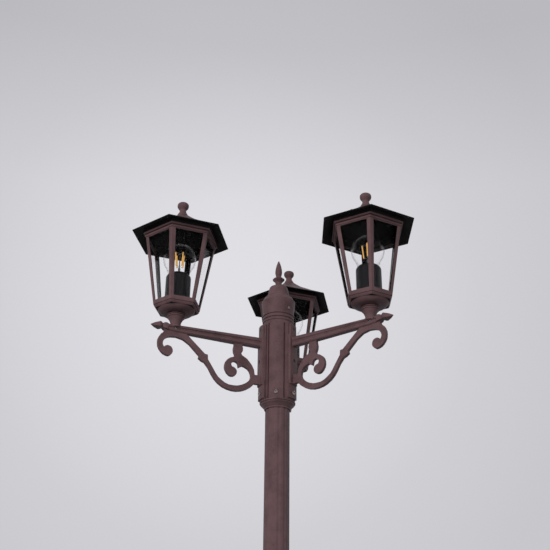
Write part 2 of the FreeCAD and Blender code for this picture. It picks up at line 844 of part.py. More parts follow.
def main():
    os.makedirs("parts", exist_ok=True)
    write("foot", make_foot())
    write("foot_screws", make_foot_screws())
    write("post", make_post())
    write("hub_column", on_post(make_column()))
    write("hub_collar", on_post(make_collar()))
    write("hub_screws", on_post(make_ring_screws()))
    write("hub_cap", on_post(make_cap()))
    write("cap_screw", on_post(make_cap_screw()))
    write("hub_spear", on_post(make_spear()))
    tray, terminals = make_terminal_block()
    write("terminal_tray", on_post(tray))
    write("terminal_block", on_post(terminals))
    write("arm_screws", on_post(make_arm_screws()))
    arm = make_arm()
    lantern = {
        "neck_nipple": make_nipple(), "pan": make_pan(), "holder_bracket": make_bracket(),
        "lamp_holder": make_holder(), "bulb_cap": make_bulb_cap(), "bulb_glass": make_bulb_glass(),
        "bulb_filament": make_filament(), "cage": make_cage(), "panes": make_panes(),
        "roof": make_roof(), "roof_finial": make_finial(),
    }
    for k in range(branches):
        write("arm_%d" % (k + 1), on_arm(arm, k))
        for name, shape in lantern.items():
            turn = roof_turns[k] if name == "roof" else 0.0
            write("%s_%d" % (name, k + 1), on_lantern(around(shape, turn), k))


main()
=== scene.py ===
"""Garden lamp post with three lanterns on scrolled arms: its looks, light and camera."""
import math

import bpy
from mathutils import Matrix, Vector


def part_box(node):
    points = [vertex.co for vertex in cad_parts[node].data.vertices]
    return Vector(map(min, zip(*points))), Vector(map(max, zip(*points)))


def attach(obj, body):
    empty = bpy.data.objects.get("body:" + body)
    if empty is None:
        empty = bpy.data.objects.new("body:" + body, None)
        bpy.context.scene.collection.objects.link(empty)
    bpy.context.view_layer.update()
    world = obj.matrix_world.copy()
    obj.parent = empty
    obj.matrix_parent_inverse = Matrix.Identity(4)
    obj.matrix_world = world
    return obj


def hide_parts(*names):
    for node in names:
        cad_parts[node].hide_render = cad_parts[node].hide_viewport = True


bl_info = {
    "name": "Three-lantern garden lamp post",
    "version": (1, 0, 0),
    "blender": (4, 5, 0),
    "location": "View3D > Sidebar > Lamp Post",
    "description": "Builds the visible pieces of a coated cast lamp post round its frame",
    "category": "Object",
}

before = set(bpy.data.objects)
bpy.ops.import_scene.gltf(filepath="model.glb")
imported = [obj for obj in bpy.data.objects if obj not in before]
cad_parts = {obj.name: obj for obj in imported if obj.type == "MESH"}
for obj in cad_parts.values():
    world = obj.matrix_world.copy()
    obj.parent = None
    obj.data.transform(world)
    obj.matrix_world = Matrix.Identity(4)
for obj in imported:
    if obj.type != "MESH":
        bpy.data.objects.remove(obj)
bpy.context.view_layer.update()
ROOT = "post"
LANTERNS = (1, 2, 3)
ARM_AZIMUTHS = (90.0, 210.0, 330.0)      # degrees from +X
LANTERN_TURNS = (-3.2, -1.9, 6.0)        # degrees that each lantern is turned on its bolt
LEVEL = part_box("pan_1")[0].z + 0.003     # the arms' top at the hub
MM = 0.001
PINCH = 1e-6                             # metres: a ring closed to a point, and what counts as one place
PAD_FOOT = 0.0025                        # how far the foot of a pad stands out, in metres
MERGE = 1e-5                             # metres: corners nearer than this are one
SIX = math.radians(30)                   # turn that puts a six-sided piece's corner over the arm
HALF_FACE = math.tan(SIX)                # half a six-sided piece's face, over its distance from the axis
SMOOTH = math.radians(44)                # edges flatter than this are shaded smooth

PICTURE = 550                            # the photograph's width and height, in pixels
FOCAL = 920.3                            # focal length in those pixels
SENSOR = 36.0                            # camera sensor, mm
CAMERA_PLACE = (0.1747, -1.5522, -0.6691)   # metres from the post's axis and from LEVEL
CAMERA_TURNS = (96.68, 27.39, 0.65)      # heading, pitch and roll in degrees
GLOW_AT = (230.0, 300.0)                 # middle of the backdrop's glow, in the photograph's pixels
LAMPS = (                                # name, place, size and power
    ("key", (-1.3, -2.8, 2.5), 1.4, 74.0),
    ("fill", (1.4, -2.6, 1.0), 1.4, 20.0),
    ("rim", (0.8, 2.4, 3.0), 1.6, 12.0),
)


# ------------------------------------------------------------ sizes and colours
class LampPostSizes(bpy.types.PropertyGroup):
    foot_radius: bpy.props.FloatProperty(
        name="Foot radius", description="Radius of the foot's flat rim", default=0.112, unit="LENGTH")
    post_radius: bpy.props.FloatProperty(
        name="Post radius", description="Radius over the lands of the post", default=0.02175, unit="LENGTH")
    flute_depth: bpy.props.FloatProperty(
        name="Flute depth", description="Depth of the post's flutes", default=0.0008, unit="LENGTH")
    column_radius: bpy.props.FloatProperty(
        name="Column radius", description="Radius of the hub column", default=0.028, unit="LENGTH")
    pad_radius: bpy.props.FloatProperty(
        name="Pad radius", description="Radius over the column's raised pads", default=0.0325, unit="LENGTH")
    bar_face: bpy.props.FloatProperty(
        name="Glazing bar", description="Width of a corner bar on each face, at its foot",
        default=0.0050, unit="LENGTH")
    cage_wall: bpy.props.FloatProperty(
        name="Cage wall", description="Thickness of the glazing bars", default=0.0018, unit="LENGTH")
    bulb_radius: bpy.props.FloatProperty(
        name="Bulb radius", description="Radius of the globe bulb", default=0.03, unit="LENGTH")
    screw_head: bpy.props.FloatProperty(
        name="Screw head", description="Radius of a button-head screw", default=0.0048, unit="LENGTH")
    edge: bpy.props.FloatProperty(
        name="Edge rounding", description="Rounding of the cast edges", default=0.0006, unit="LENGTH")


class LampPostColours(bpy.types.PropertyGroup):
    coat: bpy.props.FloatVectorProperty(
        name="Coat", description="Rust-brown powder coat", subtype="COLOR", size=3,
        default=(0.101, 0.057, 0.060))
    coat_deep: bpy.props.FloatVectorProperty(
        name="Coat, deep", description="Darker specks and hollows of the coat", subtype="COLOR", size=3,
        default=(0.050, 0.027, 0.029))
    # painted shade: near-black colour that stands for the shade under the pans, cage feet and eaves and
    # inside the lanterns
    roof: bpy.props.FloatVectorProperty(
        name="Inner coat", description="Black-brown coat inside the lanterns", subtype="COLOR", size=3,
        default=(0.0170, 0.0150, 0.0150))
    holder: bpy.props.FloatVectorProperty(
        name="Lamp holder", description="Black glazed lamp holder", subtype="COLOR", size=3,
        default=(0.006, 0.006, 0.007))
    filament: bpy.props.FloatVectorProperty(
        name="Filament", description="Yellow coating of the filament sticks", subtype="COLOR", size=3,
        default=(0.95, 0.52, 0.13))
    steel: bpy.props.FloatVectorProperty(
        name="Screws", description="Bright plated screws", subtype="COLOR", size=3,
        default=(0.42, 0.34, 0.32))
    backdrop: bpy.props.FloatVectorProperty(
        name="Backdrop", description="Pale floor and background", subtype="COLOR", size=3,
        default=(0.62, 0.62, 0.64))


def sizes():
    return bpy.context.scene.lamp_post_sizes


def colours():
    return bpy.context.scene.lamp_post_colours


# ------------------------------------------------------------------- materials
def new_material(name):
    material = bpy.data.materials.new(name)
    material.use_nodes = True
    tree = material.node_tree
    return material, tree, tree.nodes["Principled BSDF"]


def noise(tree, scale, detail=3.0, roughness=0.6):
    """Noise texture on Object coordinates."""
    place = tree.nodes.new("ShaderNodeTexCoord")
    node = tree.nodes.new("ShaderNodeTexNoise")
    node.inputs["Scale"].default_value = scale
    node.inputs["Detail"].default_value = detail
    node.inputs["Roughness"].default_value = roughness
    tree.links.new(place.outputs["Object"], node.inputs["Vector"])
    return node


def ramp(tree, source, stops):
    node = tree.nodes.new("ShaderNodeValToRGB")
    while len(node.color_ramp.elements) < len(stops):
        node.color_ramp.elements.new(0.5)
    for element, (position, colour) in zip(node.color_ramp.elements, stops):
        element.position = position
        element.color = (*colour, 1.0)
    tree.links.new(source, node.inputs["Fac"])
    return node


def calculate(tree, operation, *values):
    """Math node on sockets or numbers."""
    node = tree.nodes.new("ShaderNodeMath")
    node.operation = operation
    for socket, value in zip(node.inputs, values):
        if isinstance(value, float):
            socket.default_value = value
        else:
            tree.links.new(value, socket)
    return node.outputs["Value"]


def bump(tree, shader, height, strength, distance):
    node = tree.nodes.new("ShaderNodeBump")
    node.inputs["Strength"].default_value = strength
    node.inputs["Distance"].default_value = distance
    tree.links.new(height, node.inputs["Height"])
    tree.links.new(node.outputs["Normal"], shader.inputs["Normal"])


def powder_coat(name, colour, deep, roughness=0.52, specular=0.25):
    """Fine-textured powder coat: small orange-peel grain, mottled colour, broad cloudy sheen."""
    material, tree, shader = new_material(name)
    grain = noise(tree, 1100.0, 4.0, 0.7)
    cloud = noise(tree, 38.0, 5.0, 0.65)
    mix = tree.nodes.new("ShaderNodeMix")
    mix.data_type = "FLOAT"
    mix.inputs[0].default_value = 0.5
    tree.links.new(cloud.outputs["Fac"], mix.inputs[2])
    tree.links.new(grain.outputs["Fac"], mix.inputs[3])
    tint = ramp(tree, mix.outputs[0], [(0.34, deep), (0.52, colour), (0.72, [c * 1.35 for c in colour])])
    tree.links.new(tint.outputs["Color"], shader.inputs["Base Color"])
    sheen = ramp(tree, cloud.outputs["Fac"], [(0.3, [roughness - 0.08] * 3), (0.7, [roughness + 0.08] * 3)])
    tree.links.new(sheen.outputs["Color"], shader.inputs["Roughness"])
    shader.inputs["Specular IOR Level"].default_value = specular
    bump(tree, shader, grain.outputs["Fac"], 0.35, 0.0003)
    return material


def metal(name, colour, roughness, scale=(400.0, 400.0, 2500.0)):
    """Plated metal with a drawn grain."""
    material, tree, shader = new_material(name)
    place = tree.nodes.new("ShaderNodeTexCoord")
    mapping = tree.nodes.new("ShaderNodeMapping")
    mapping.inputs["Scale"].default_value = scale
    grain = tree.nodes.new("ShaderNodeTexNoise")
    grain.inputs["Scale"].default_value = 1.0
    tree.links.new(place.outputs["Object"], mapping.inputs["Vector"])
    tree.links.new(mapping.outputs["Vector"], grain.inputs["Vector"])
    tint = ramp(tree, grain.outputs["Fac"], [(0.3, [c * 0.82 for c in colour]), (0.7, colour)])
    tree.links.new(tint.outputs["Color"], shader.inputs["Base Color"])
    polish = ramp(tree, grain.outputs["Fac"], [(0.3, [roughness * 0.8] * 3), (0.7, [roughness * 1.25] * 3)])
    tree.links.new(polish.outputs["Color"], shader.inputs["Roughness"])
    shader.inputs["Metallic"].default_value = 1.0
    return material


def moulded(name, colour, roughness, grain_scale=900.0, specular=0.5):
    """Moulded or glazed surface with a faint mottle."""
    material, tree, shader = new_material(name)
    grain = noise(tree, grain_scale, 3.0)
    tint = ramp(tree, grain.outputs["Fac"], [(0.3, [c * 0.8 for c in colour]), (0.7, colour)])
    tree.links.new(tint.outputs["Color"], shader.inputs["Base Color"])
    shader.inputs["Roughness"].default_value = roughness
    shader.inputs["Specular IOR Level"].default_value = specular
    bump(tree, shader, grain.outputs["Fac"], 0.15, 0.0001)
    return material


def clear_glass(name, tint, body, haze_scale, gloss=0.6):
    """Thin clear glass: a mirror as strong as glass reflects, otherwise see-through, with faint dust."""
    material, tree, shader = new_material(name)
    shader.inputs["Base Color"].default_value = (*tint, 1.0)
    shader.inputs["Metallic"].default_value = 1.0
    shader.inputs["Roughness"].default_value = 0.03
    weight = tree.nodes.new("ShaderNodeLayerWeight")
    weight.inputs["Blend"].default_value = 0.5
    edge = calculate(tree, "POWER", weight.outputs["Facing"], 5.0)
    mirror = calculate(tree, "MULTIPLY_ADD", edge, gloss, body * 0.5)
    dust = noise(tree, haze_scale, 4.0)
    film = ramp(tree, dust.outputs["Fac"], [(0.35, [body * 0.6] * 3), (0.75, [body * 1.4] * 3)])
    total = calculate(tree, "ADD", mirror, film.outputs["Color"])
    tree.links.new(total, shader.inputs["Alpha"])
    return material


def seen_rays(tree):
    """1 for rays that show the backdrop: from the camera, or through glass, or mirrored."""
    path = tree.nodes.new("ShaderNodeLightPath")
    mirrored = calculate(tree, "MAXIMUM", path.outputs["Is Glossy Ray"], path.outputs["Is Transmission Ray"])
    return calculate(tree, "MAXIMUM", path.outputs["Is Camera Ray"], mirrored)


def make_materials():
    tone = colours()
    return {
        "coat": powder_coat("coat_rust_brown", tone.coat, tone.coat_deep),
        # painted shade: a near-black coat for the faces that face down or in, where shade falls
        "painted_shade_coat": powder_coat("coat_painted_shade", tone.roof, [c * 0.6 for c in tone.roof], 0.7, 0.08),
        "steel": metal("screw_steel", tone.steel, 0.28),
        "zinc": metal("zinc_plate", (0.5, 0.5, 0.49), 0.42),
        "bulb_cap": metal("bulb_cap_metal", (0.72, 0.70, 0.66), 0.25, (2000.0, 2000.0, 600.0)),
        "holder": moulded("holder_glaze", tone.holder, 0.35, specular=0.25),
        "terminal": moulded("terminal_cream", (0.55, 0.53, 0.48), 0.5),
        "screw_dark": moulded("screw_black", (0.012, 0.010, 0.010), 0.45),
        "filament": moulded("filament_coat", tone.filament, 0.5, 600.0),
        "pane": clear_glass("pane_glass", (0.93, 0.94, 0.94), 0.002, 60.0, 0.2),
        "globe": clear_glass("globe_glass", (0.95, 0.95, 0.94), 0.004, 90.0, 0.7),
        "stem": clear_glass("stem_glass", (0.9, 0.92, 0.92), 0.12, 300.0),
    }


MATERIALS = {}


# --------------------------------------------------------------- model helpers
def deselect():
    if bpy.context.object and bpy.context.object.mode != "OBJECT":
        bpy.ops.object.mode_set(mode="OBJECT")
    bpy.ops.object.select_all(action="DESELECT")


def choose(*pieces):
    """Select these objects only; the last is active."""
    deselect()
    for piece in pieces:
        piece.select_set(True)
    bpy.context.view_layer.objects.active = pieces[-1]


def edit(piece, kind="VERT"):
    """Enter edit mode with nothing selected."""
    choose(piece)
    bpy.ops.object.mode_set(mode="EDIT")
    bpy.ops.mesh.select_mode(type=kind)
    bpy.ops.mesh.select_all(action="DESELECT")


def finish_edit():
    bpy.ops.object.mode_set(mode="OBJECT")


def pick(piece, test, kind="VERT"):
    """In edit mode, select the vertices, edges or faces that pass a test of their place."""
    bpy.ops.object.mode_set(mode="OBJECT")
    mesh = piece.data
    for group in (mesh.vertices, mesh.edges, mesh.polygons):
        group.foreach_set("select", [False] * len(group))
    if kind == "FACE":
        for face in mesh.polygons:
            face.select = test(face.center, face.normal)
    else:
        for vertex in mesh.vertices:
            vertex.select = test(vertex.co)
    bpy.ops.object.mode_set(mode="EDIT")
    bpy.ops.mesh.select_mode(type=kind)


def apply_all(piece):
    choose(piece)
    bpy.ops.object.transform_apply(location=True, rotation=True, scale=True)


def modify(piece, kind, **settings):
    """Add a modifier with its settings, and apply it."""
    choose(piece)
    modifier = piece.modifiers.new(kind.lower(), kind)
    for key, value in settings.items():
        setattr(modifier, key, value)
    bpy.ops.object.modifier_apply(modifier=modifier.name)


def outward(piece):
    """Merge a new shape's doubles and face it outwards."""
    edit(piece)
    bpy.ops.mesh.select_all(action="SELECT")
    bpy.ops.mesh.remove_doubles(threshold=MERGE)
    bpy.ops.mesh.normals_make_consistent(inside=False)
    finish_edit()


def soften(piece, width, angle=32.0):
    """Round the edges of a casting and shade it smooth between them."""
    if width > 0:
        modify(piece, "BEVEL", width=width, segments=2, limit_method="ANGLE",
               angle_limit=math.radians(angle), use_clamp_overlap=False)
    choose(piece)
    bpy.ops.object.shade_smooth_by_angle(angle=SMOOTH)
    modify(piece, "WEIGHTED_NORMAL", keep_sharp=True, weight=70)


def turned(name, profile, sides=72, turn=0.0):
    """Turn (radius, height) rings in mm about Z: one circle, extruded up and scaled ring by ring."""
    here, level = max(profile[0][0] * MM, PINCH), profile[0][1]
    deselect()
    bpy.ops.mesh.primitive_circle_add(vertices=sides, radius=here, location=(0, 0, level * MM),
                                      rotation=(0, 0, turn))
    piece = bpy.context.object
    piece.name = name
    apply_all(piece)
    edit(piece)
    bpy.ops.mesh.select_all(action="SELECT")
    for radius, height in profile[1:]:
        bpy.ops.mesh.extrude_region_move(
            TRANSFORM_OT_translate={"value": (0, 0, (height - level) * MM)})
        wanted = max(radius * MM, PINCH)
        grow = wanted / here
        bpy.ops.transform.resize(value=(grow, grow, 1), center_override=(0, 0, 0))
        here, level = wanted, height
    finish_edit()
    outward(piece)
    return piece


def smooth_run(points, parts=5):
    """Points of a smooth curve through a few given ones."""
    ends = [points[0]] + list(points) + [points[-1]]
    run = []
    for a, b, c, d in zip(ends, ends[1:], ends[2:], ends[3:]):
        for k in range(parts):
            t = k / parts
            run.append(tuple(
                0.5 * (2 * q + (r - p) * t + (2 * p - 5 * q + 4 * r - s) * t * t
                       + (3 * q - p - 3 * r + s) * t ** 3)
                for p, q, r, s in zip(a, b, c, d)))
    return run + [points[-1]]


def joined(name, *pieces):
    choose(*pieces)
    if len(pieces) > 1:
        bpy.ops.object.join()
    piece = bpy.context.object
    piece.name = name
    piece.data.name = name
    return piece


def placed(piece, name, matrix):
    """Copy a finished piece, mesh and all, to its place."""
    copy = bpy.data.objects.new(name, piece.data.copy())
    bpy.context.scene.collection.objects.link(copy)
    copy.matrix_world = matrix
    apply_all(copy)
    copy.data.name = name
    return copy


def discard(*pieces):
    for piece in pieces:
        bpy.data.objects.remove(piece)


def settle(piece, body, material, slot, *nodes):
    """Give a piece its finish and its body, and hide the CAD nodes that it stands for."""
    piece.data.materials.clear()
    piece.data.materials.append(MATERIALS[material])
    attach(piece, body)
    if nodes:
        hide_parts(*nodes)
    return piece


def paint(piece, material, test):
    """Give the faces that pass a test of their place and normal a second material; here that is the painted
    shade.
    """
    edit(piece, "FACE")
    pick(piece, test, "FACE")
    bpy.ops.object.material_slot_add()
    piece.active_material = MATERIALS[material]
    bpy.ops.object.material_slot_assign()
    finish_edit()


def up_to_hub(piece):
    """Lift a piece modelled about the setting-out level to its height."""
    piece.matrix_world = Matrix.Translation((0, 0, LEVEL))
    apply_all(piece)
    return piece


def lantern_matrix(k):
    low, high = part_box("lamp_holder_%d" % k)
    middle = (low + high) / 2
    turn = math.radians(ARM_AZIMUTHS[k - 1] + LANTERN_TURNS[k - 1])
    return Matrix.Translation((middle.x, middle.y, LEVEL)) @ Matrix.Rotation(turn, 4, "Z")


def on_lanterns(piece, stem, body, material, slot, node, inside=None):
    """Copy a lantern piece to each arm, where it stands for that lantern's node; inside tells which of its
    faces get the painted shade, a near-black coat where shade falls, by their place from the lantern's axis
    and LEVEL."""
    for k in LANTERNS:
        copy = placed(piece, "%s_%d" % (stem, k), lantern_matrix(k))
        settle(copy, body % k if "%" in body else body, material, slot, node % k)
        if inside:
            axis = lantern_matrix(k).translation
            # painted shade on the faces that inside picks
            paint(copy, "painted_shade_coat", lambda c, n: inside(c - axis, n))
    discard(piece)


def softened_copy(node, name, width, reshape):
    """Copy a node's mesh, merge its loose triangles into plain faces, reshape it and round its edges."""
    copy = bpy.data.objects.new(name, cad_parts[node].data.copy())
    bpy.context.scene.collection.objects.link(copy)
    edit(copy)
    bpy.ops.mesh.select_all(action="SELECT")
    bpy.ops.mesh.remove_doubles(threshold=MERGE)
    bpy.ops.mesh.dissolve_limited(angle_limit=math.radians(1.0))
    finish_edit()
    reshape(copy)
    soften(copy, width)
    return copy


# ----------------------------------------------------------------------- pieces
class LAMPPOST_OT_foot(bpy.types.Operator):
    """Turn the bell-shaped foot and drill its anchor holes"""
    bl_idname = "lamppost.foot"
    bl_label = "Foot"

    def execute(self, context):
        radius = sizes().foot_radius / MM
        bell = smooth_run([(radius - 4, 12), (radius - 16, 17), (65, 32), (40, 62), (31.5, 98)], 6)
        foot = turned("foot_casting", [(68, 0), (radius, 0), (radius, 9), (radius - 1.5, 10.5)] + bell + [
            (31.0, 102), (34.0, 104), (34.4, 111), (34.0, 118), (31, 120.5), (27, 124), (22.4, 124),
            (22.4, 42), (17, 42), (17, 34), (54, 16), (68, 0)], 96)
        anchor_radius, anchor_circle = 5.5 * MM, 0.092
        for k in range(4):
            angle = math.radians(45 + 90 * k)
            deselect()
            bpy.ops.mesh.primitive_cylinder_add(
                vertices=32, radius=anchor_radius, depth=0.05,
                location=(anchor_circle * math.cos(angle), anchor_circle * math.sin(angle), 0.01))
            drill = bpy.context.object
            modify(foot, "BOOLEAN", operation="DIFFERENCE", object=drill, solver="EXACT")
            discard(drill)
        soften(foot, sizes().edge)
        settle(foot, ROOT, "coat", "coated_casting", "foot")
        return {"FINISHED"}


class LAMPPOST_OT_post(bpy.types.Operator):
    """Draw the fluted tube of the post: a circle pressed in at twelve flutes, extruded and given a wall"""
    bl_idname = "lamppost.post"
    bl_label = "Post"

    def execute(self, context):
        flutes, per_flute, wall = 12, 20, 0.0024
        low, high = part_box("post")
        radius = sizes().post_radius
        deselect()
        bpy.ops.mesh.primitive_circle_add(vertices=flutes * per_flute, radius=radius, location=(0, 0, low.z))
        post = bpy.context.object
        post.name = "post_tube"
        apply_all(post)
        step = 360.0 / flutes
        for away in range(6):                 # corners from the middle of a flute to its edge
            share = math.cos(math.radians(90.0 * away / 5.5))
            turn = 360.0 * away / (flutes * per_flute)

            def in_flute(co):
                angle = math.degrees(math.atan2(co.y, co.x)) % step - step / 2
                return abs(abs(angle) - turn) < 0.3

            edit(post)
            pick(post, in_flute)
            press = 1 - sizes().flute_depth * share / radius
            bpy.ops.transform.resize(value=(press, press, 1), center_override=(0, 0, 0))
            finish_edit()
        edit(post)
        bpy.ops.mesh.select_all(action="SELECT")
        bpy.ops.mesh.extrude_region_move(TRANSFORM_OT_translate={"value": (0, 0, high.z - low.z)})
        finish_edit()
        outward(post)
        modify(post, "SOLIDIFY", thickness=wall, offset=-1.0)
        soften(post, 0)
        settle(post, ROOT, "coat", "coated_extrusion", "post")
        return {"FINISHED"}


class LAMPPOST_OT_hub(bpy.types.Operator):
    """Model the hub: column with raised pads and grooves, bell collar, ringed cap and leafed spear"""
    bl_idname = "lamppost.hub"
    bl_label = "Hub"

    def execute(self, context):
        self.column()
        self.collar()
        self.cap()
        self.spear()
        return {"FINISHED"}

    def column(self):
        radius, pad = sizes().column_radius / MM, sizes().pad_radius / MM
        pad_top, groove_top, foot_low, foot_high = 26.8, 29.0, -115.5, -84.0
        pad_spread, groove_spread = 22, (26, 32)      # degrees from an arm's middle
        groove_depth = 0.0031
        levels = (-117.0, foot_low, -110.5, -109.5, foot_high, pad_top, groove_top, 36.0)
        column = turned("hub_casting", [(22.2, -117.0)] + [(radius, z) for z in levels]
                        + [(25.2, 36.0), (25.2, 70), (22.2, 70), (22.2, -117.0)], 180)

        def beside_arm(centre, spread):
            angle = math.degrees(math.atan2(centre.y, centre.x)) - 90.0
            return abs((angle + 60.0) % 120.0 - 60.0) < spread

        def on_wall(centre, normal):
            return abs(normal.z) < 0.1 and abs(math.hypot(centre.x, centre.y) - radius * MM) < 0.0002

        edit(column, "FACE")
        pick(column, lambda c, n: on_wall(c, n) and c.z < pad_top * MM and beside_arm(c, pad_spread),
             "FACE")
        bpy.ops.mesh.extrude_region_shrink_fatten(
            TRANSFORM_OT_shrink_fatten={"value": (pad - radius) * MM})
        pick(column, lambda c, n: on_wall(c, n) and c.z < groove_top * MM
             and beside_arm(c, groove_spread[1]) and not beside_arm(c, groove_spread[0]), "FACE")
        bpy.ops.mesh.extrude_region_shrink_fatten(TRANSFORM_OT_shrink_fatten={"value": -groove_depth})
        pick(column, lambda c, n: abs(n.z) < 0.1 and beside_arm(c, pad_spread - 0.1)
             and foot_low * MM < c.z < foot_high * MM
             and math.hypot(c.x, c.y) > pad * MM - 0.0002, "FACE")
        bpy.ops.mesh.extrude_region_shrink_fatten(TRANSFORM_OT_shrink_fatten={"value": PAD_FOOT})
        finish_edit()
        outward(column)
        soften(column, 0.0004, 40.0)
        settle(up_to_hub(column), ROOT, "coat", "coated_casting", "hub_column")

    def collar(self):
        curve = smooth_run([(28.6, -123.4), (26.4, -125.6), (24.4, -128.2)], 3)
        collar = turned("hub_bell_collar", [
            (22.0, -117), (31.6, -117), (32.0, -117.4), (32.0, -119.6), (31.4, -120), (30.2, -120.4),
            (30.0, -122.2)] + curve + [
            (23.6, -128.6), (23.6, -131), (23.2, -131.5), (22.0, -131.5), (22.0, -117)], 96)
        soften(collar, 0.0002, 40.0)
        settle(up_to_hub(collar), ROOT, "coat", "coated_casting", "hub_collar")

    def cap(self):
        rings = []
        for start in (40.2, 47.2):
            rings += [(29.0, start), (27.6, start + 0.2), (27.1, start + 0.7), (27.1, start + 1.7),
                      (27.6, start + 2.2), (29.0, start + 2.4)]
        dome = smooth_run([(20.0, 95.0), (19.4, 100.0), (18.3, 106.0), (16.9, 110.6), (16.0, 112.0)], 4)
        cap = turned("hub_ring_cap", [(26.0, 36.0), (29.0, 36.0)] + rings + [
            (29.0, 56.6), (31.4, 78.2), (31.6, 79.0), (31.3, 80.0), (30.2, 80.6), (27.1, 87.4),
            (22.4, 89.6), (21.6, 90.4), (21.6, 93.4), (21.0, 94.0), (20.2, 94.2)] + dome + [
            (0, 112.0), (0, 109.0), (13.3, 109.0), (26.0, 74.0), (26.0, 36.0)], 96)
        soften(cap, 0.0002, 40.0)
        settle(up_to_hub(cap), ROOT, "coat", "coated_casting", "hub_cap")

    def spear(self):
        bud = smooth_run([(4.9, 136.0), (6.4, 143.0), (6.2, 150.0), (4.4, 159.0), (1.7, 167.3),
                          (0.3, 170.0)], 4)
        leaf = smooth_run([(6.2, 121.5), (7.0, 124.5), (10.6, 128.0), (11.2, 130.0), (8.8, 131.5),
                           (6.4, 133.5)], 3)
        spear = turned("hub_spear_finial", [
            (0, 112.0), (8.2, 112.0), (8.5, 112.6), (8.4, 115.0), (6.4, 117.0), (5.7, 120.0)]
            + leaf + bud + [(0, 170.0)], 72)
        leaves, ribs = (124.0, 132.5, 0.80, 6), (137.0, 166.0, 0.90, 4)    # low, high, pressed to, lobes
        for low, high, press, lobes in (leaves, ribs):

            def between(co):
                angle = math.degrees(math.atan2(co.y, co.x)) % (360.0 / lobes) - 180.0 / lobes
                return low * MM < co.z < high * MM and abs(angle) < 9.0

            edit(spear)
            pick(spear, between)
            bpy.ops.transform.resize(value=(press, press, 1), center_override=(0, 0, 0))
            finish_edit()
        soften(spear, 0)
        settle(up_to_hub(spear), ROOT, "coat", "coated_casting", "hub_spear")


# Handles that pull the corners of an arm to its finished curves, chosen along each curve:
# distance from the post, level, pull outward and pull up, in mm.
ARM_HANDLES = (
    # bar under the beam, from the outer curl down the stem and round the bowl
    (220, -40, -0.5, 0.2), (216, -32, -1.3, 1.4), (208, -29, -2.5, 2.6), (195, -32, 0, 6.2),
    (183, -35, -0.3, 7.4), (171, -40, -0.4, 5.2), (155, -54, -3.4, 1.5), (158, -59, -4.8, 1.5),
    (150, -65, -5.8, 1.7), (139, -74, -4.9, 1.0), (129, -87, -4.1, 0.1), (114, -101, -3.9, 0.2),
    (96, -108, -2.8, 0.8), (76, -107, -1.6, 0.7), (58, -99, -1.1, 0.6),
    # inside of the bowl
    (125, -73, -0.6, -0.4), (117, -86, -1.6, -0.1), (100, -97, -1.7, 0), (80, -97, -1.3, 0.3),
    (66, -91, -2.3, 0.6), (57, -79, -3.2, 0.6), (60, -66, -2.7, 1.0), (70, -60, -0.5, 1.5),
    # outer curl, and the bar's upper side
    (220, -21, -0.7, 0.3), (229, -30, -2.5, 1.3), (232, -42, -3.1, 1.6), (226, -56, -2.8, 1.8),
    (212, -65, -1.7, 2.1), (202, -60, -0.7, 2.5), (202, -51, -0.2, 2.7), (211, -45, -0.2, 2.1),
    (218, -47, -0.6, 1.2), (142, -50, -0.6, 2.4), (135, -57, 0, 0), (136, -49, 0.4, 1.0),
    (166, -17, 11, 0),
    # inner curl
    (89, -65, -0.9, 2.3), (82, -74, -1.3, 2.8), (90, -84, -1.6, 3.1), (102, -77, -2.0, 2.4),
    (105, -62, -2.2, 1.4), (96, -47, -1.8, 0.7), (78, -60, -0.1, 1.7), (91, -59, -0.3, 1.7),
    # brace and heel
    (88, -38, -2.5, -0.2), (90, -24, -2.5, -0.3), (71, -28, -1.0, 0), (74, -36, -1.0, 0.2),
    (62, -46, -0.9, 0.6), (50, -60, -1.1, 0.6), (46, -80, 0, 0),
)


class LAMPPOST_OT_arms(bpy.types.Operator):
    """Pull the corners of the scrolled arms to their finished curves and round their edges"""
    bl_idname = "lamppost.arms"
    bl_label = "Arms"

    def pull_at(self, reach, level):
        """Pull at a corner: the mean of the handles' pulls, the nearest ones counting by far the most."""
        weights = [1 / (math.hypot(reach - place[0], level - place[1]) + 0.1) ** 4 for place in ARM_HANDLES]
        return [sum(w * place[k] for w, place in zip(weights, ARM_HANDLES)) / sum(weights) for k in (2, 3)]

    def pull(self, arm, azimuth):
        bar_side, plate_reach, beam_level = 0.004, 47, -16.7     # the scroll's corners: metres, mm, mm
        out = Vector((math.cos(azimuth), math.sin(azimuth), 0))
        side = Vector((-out.y, out.x, 0))
        corners = {}
        for vertex in arm.data.vertices:
            reach, level = vertex.co.dot(out) / MM, (vertex.co.z - LEVEL) / MM
            if abs(vertex.co.dot(side)) < bar_side and reach > plate_reach and level < beam_level:
                corners.setdefault((round(reach, 1), round(level, 1)), []).append(vertex.co.copy())
        for place, spots in corners.items():
            outward_pull, lift = self.pull_at(*place)
            edit(arm)
            pick(arm, lambda co: min((co - spot).length for spot in spots) < PINCH)
            bpy.ops.transform.translate(value=out * outward_pull * MM + Vector((0, 0, lift * MM)))
            finish_edit()

    def execute(self, context):
        for k in LANTERNS:
            arm = softened_copy("arm_%d" % k, "scroll_arm_%d" % k, sizes().edge,
                                lambda piece: self.pull(piece, math.radians(ARM_AZIMUTHS[k - 1])))
            settle(arm, ROOT, "coat", "coated_casting", "arm_%d" % k)
        return {"FINISHED"}


